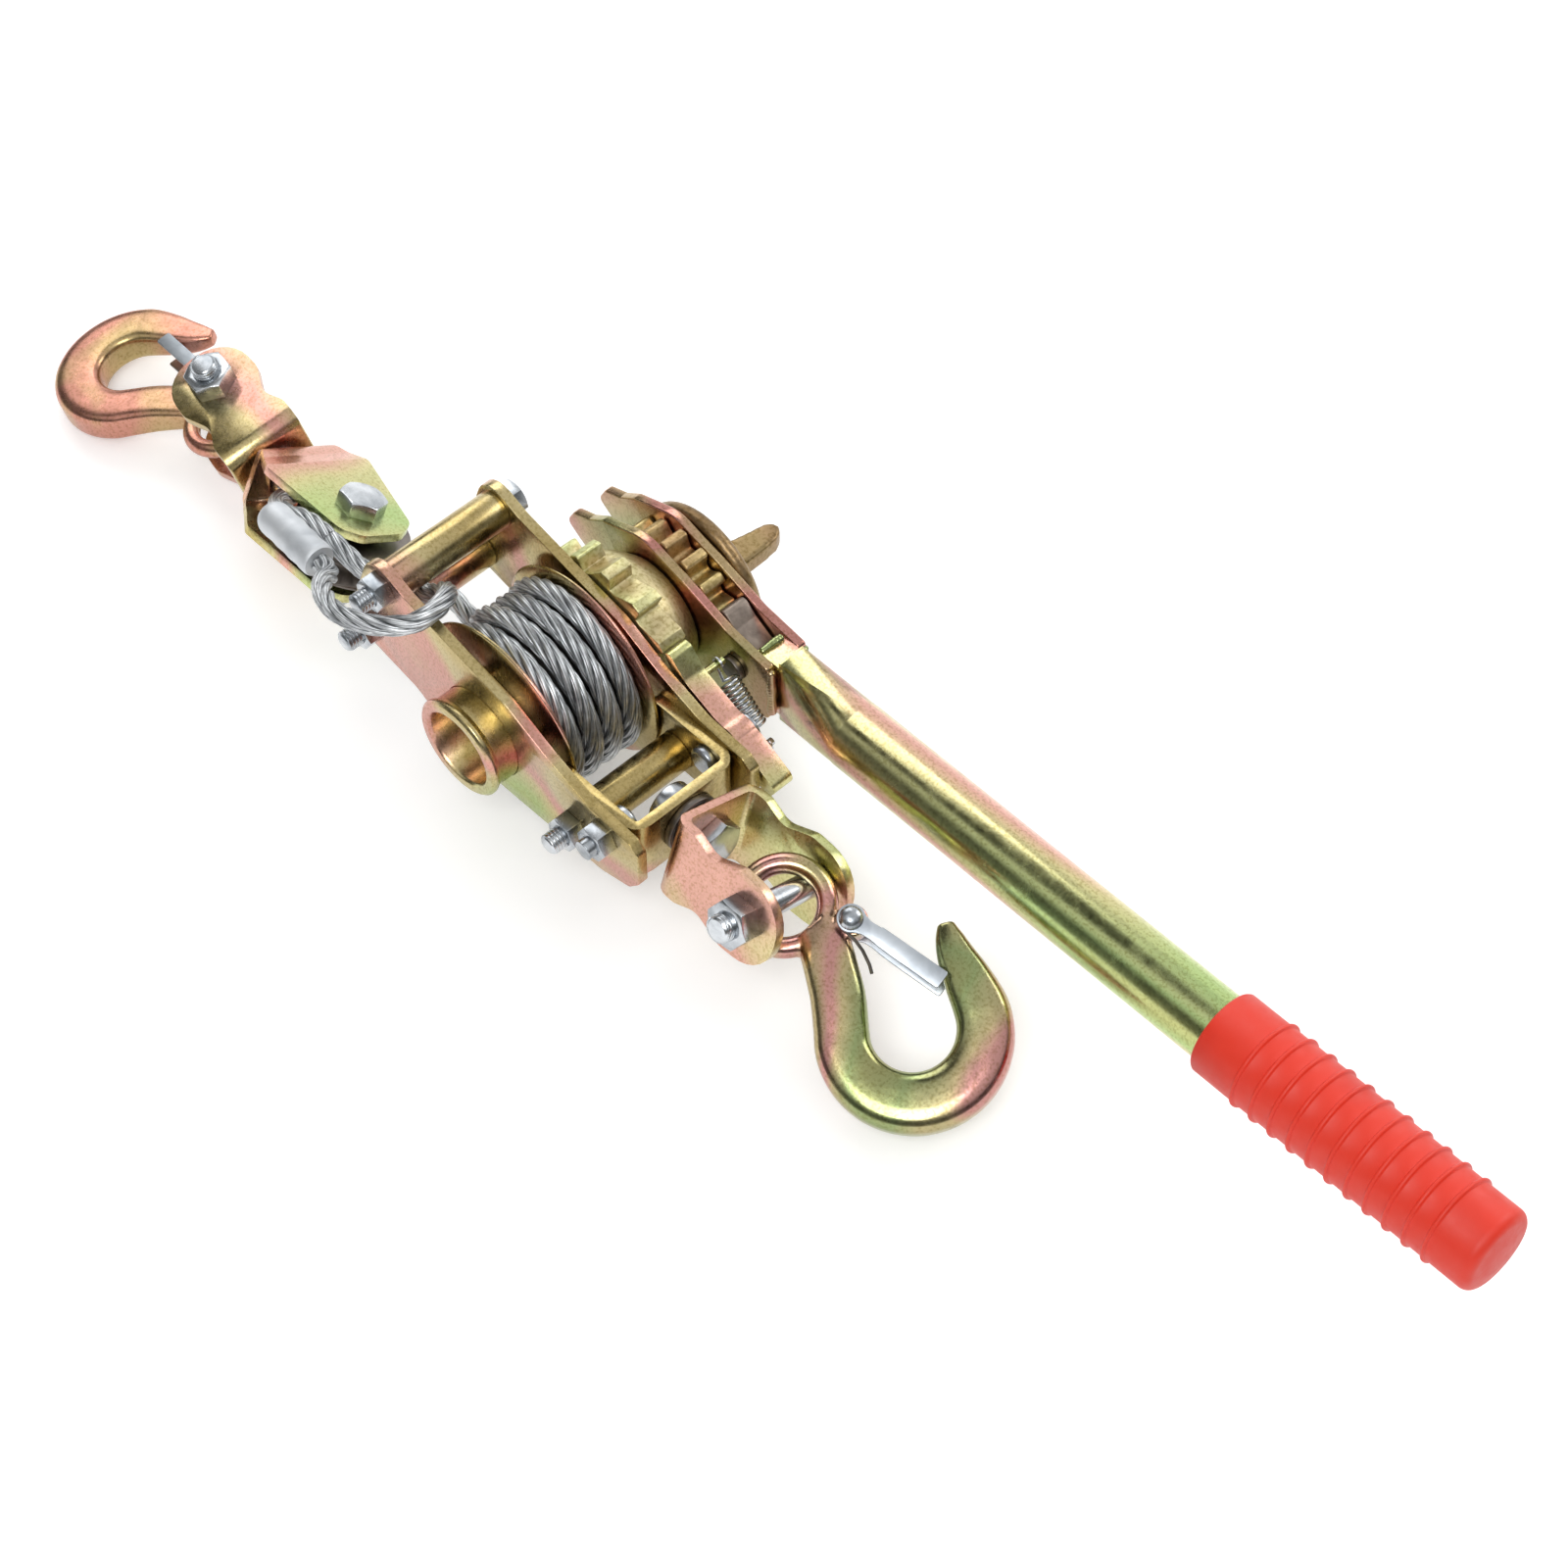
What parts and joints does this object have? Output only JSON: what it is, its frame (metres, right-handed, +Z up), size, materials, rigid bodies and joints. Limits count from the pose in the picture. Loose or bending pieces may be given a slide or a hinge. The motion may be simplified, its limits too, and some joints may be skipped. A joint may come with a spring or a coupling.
{
  "type": "come along winch",
  "caption": "Hand-powered wire rope winch: a ratchet drum between two plates, a long pumping handle with a ribbed grip, and a latched swivel hook at each end",
  "frame": {"origin": "on the drum's axis, midway between the two side plates", "axes": "+X along the pull toward the anchor hook and the handle's grip, +Y along the drum's axis toward the ratchet side, +Z up"},
  "size_m": [0.6958, 0.1662, 0.0984],
  "materials": {
    "yellow_zinc": "yellow zinc chromate on stamped steel, iridescent",
    "rose_zinc": "yellow zinc chromate, rosy patches",
    "cast_zinc": "yellow zinc chromate on a rough casting",
    "bright_zinc": "bright zinc plate",
    "dark_steel": "plain steel, greyish",
    "wire_rope": "galvanised steel wire rope",
    "grip_red": "soft red-orange vinyl",
    "sleeve_alloy": "pressed aluminium sleeve"
  },
  "bodies": {
    "frame": {"near_plate": "yellow_zinc", "far_plate": "yellow_zinc", "rear_upper_spacer": "yellow_zinc", "rear_lower_spacer": "yellow_zinc", "front_spacer": "yellow_zinc", "anchor_bracket": "yellow_zinc", "frame_bolts": "bright_zinc", "frame_nuts": "bright_zinc", "bracket_bolt": "bright_zinc", "pawl_pivot_bolt": "bright_zinc", "swivel_washer": "dark_steel", "spring_post": "bright_zinc", "pawl_spring": "bright_zinc", "rope_eye": "wire_rope", "ferrule": "sleeve_alloy"},
    "drum": {"drum_tube": "yellow_zinc", "near_flange": "yellow_zinc", "far_flange": "yellow_zinc", "ratchet_wheel": "cast_zinc", "drive_gear": "cast_zinc", "drum_shaft": "dark_steel", "wing_knob": "cast_zinc", "rope_core": "wire_rope", "rope_winding": "wire_rope"},
    "lever": {"near_cheek": "rose_zinc", "far_cheek": "rose_zinc", "handle_tube": "yellow_zinc", "handle_grip": "grip_red", "handle_pawl_pin": "dark_steel"},
    "drive_pawl": {"handle_pawl": "dark_steel"},
    "stop_pawl": {"frame_pawl": "cast_zinc"},
    "front_clevis": {"front_yoke": "rose_zinc", "front_swivel_bolt": "bright_zinc", "front_swivel_nut": "bright_zinc", "front_hook_bolt": "bright_zinc", "front_hook_nut": "bright_zinc"},
    "anchor_hook": {"front_hook": "yellow_zinc", "front_latch_rivet": "bright_zinc", "front_latch_spring": "dark_steel"},
    "anchor_latch": {"front_latch": "bright_zinc"},
    "block": {"block_strap": "rose_zinc", "sheave_bolt": "bright_zinc", "sheave_nut": "bright_zinc", "sheave_bush": "dark_steel", "rope_lead": "wire_rope"},
    "sheave_wheel": {"sheave": "dark_steel"},
    "rear_clevis": {"rear_yoke": "yellow_zinc", "rear_swivel_bolt": "bright_zinc", "rear_swivel_nut": "bright_zinc", "rear_hook_bolt": "bright_zinc", "rear_hook_nut": "bright_zinc"},
    "load_hook": {"rear_hook": "yellow_zinc", "rear_latch_rivet": "bright_zinc", "rear_latch_spring": "dark_steel"},
    "load_latch": {"rear_latch": "bright_zinc"}
  },
  "joints": [
    {"name": "drum_spin", "type": "hinge", "parent": "frame", "child": "drum", "pos_m": [0, 0, 0], "axis": [0, 1, 0], "continuous": true},
    {"name": "lever_pump", "type": "hinge", "parent": "frame", "child": "lever", "pos_m": [0, 0.067, 0], "axis": [0, 1, 0], "range_deg": [-140, 25]},
    {"name": "drive_pawl_lift", "type": "hinge", "parent": "lever", "child": "drive_pawl", "pos_m": [0.0425, 0.067, 0.0015], "axis": [0, 1, 0], "range_deg": [0, 12], "stiffness_Nm_per_rad": 0.05, "springref_deg": -11.46},
    {"name": "stop_pawl_lift", "type": "hinge", "parent": "frame", "child": "stop_pawl", "pos_m": [0.066, 0.036, 0], "axis": [0, 1, 0], "range_deg": [0, 12], "stiffness_Nm_per_rad": 0.3, "springref_deg": -11.46, "deforming": ["pawl_spring"]},
    {"name": "front_swivel", "type": "hinge", "parent": "frame", "child": "front_clevis", "pos_m": [0.086, 0, -0.006], "axis": [1, 0, 0], "continuous": true},
    {"name": "anchor_hook_swing", "type": "hinge", "parent": "front_clevis", "child": "anchor_hook", "pos_m": [0.127, 0, -0.006], "axis": [0, 0.9455, -0.3256], "range_deg": [-30, 18]},
    {"name": "anchor_latch_open", "type": "hinge", "parent": "anchor_hook", "child": "anchor_latch", "pos_m": [0.15136, 0.01224, -0.00768], "axis": [-0.2317, 0.3327, -0.9141], "range_deg": [0, 28], "stiffness_Nm_per_rad": 0.02, "springref_deg": -17.19},
    {"name": "block_slack", "type": "slide", "parent": "frame", "child": "block", "axis": [-1, 0, 0], "range_m": [0, 0.012]},
    {"name": "sheave_spin", "type": "hinge", "parent": "block", "child": "sheave_wheel", "pos_m": [-0.1127, -0.0017, -0.0114], "axis": [0, 0.4695, 0.8829], "continuous": true},
    {"name": "rear_swivel", "type": "hinge", "parent": "block", "child": "rear_clevis", "pos_m": [-0.16301, 0.005, -0.01654], "axis": [-0.986, 0.1605, -0.0458], "continuous": true},
    {"name": "load_hook_swing", "type": "hinge", "parent": "rear_clevis", "child": "load_hook", "pos_m": [-0.20147, 0.01126, -0.01833], "axis": [0.0837, 0.2379, -0.9677], "range_deg": [-35, 35]},
    {"name": "load_latch_open", "type": "hinge", "parent": "load_hook", "child": "load_latch", "pos_m": [-0.22372, 0.01835, -0.02679], "axis": [-0.1908, -0.1705, 0.9667], "range_deg": [0, 28], "stiffness_Nm_per_rad": 0.015, "springref_deg": -17.19}
  ]
}
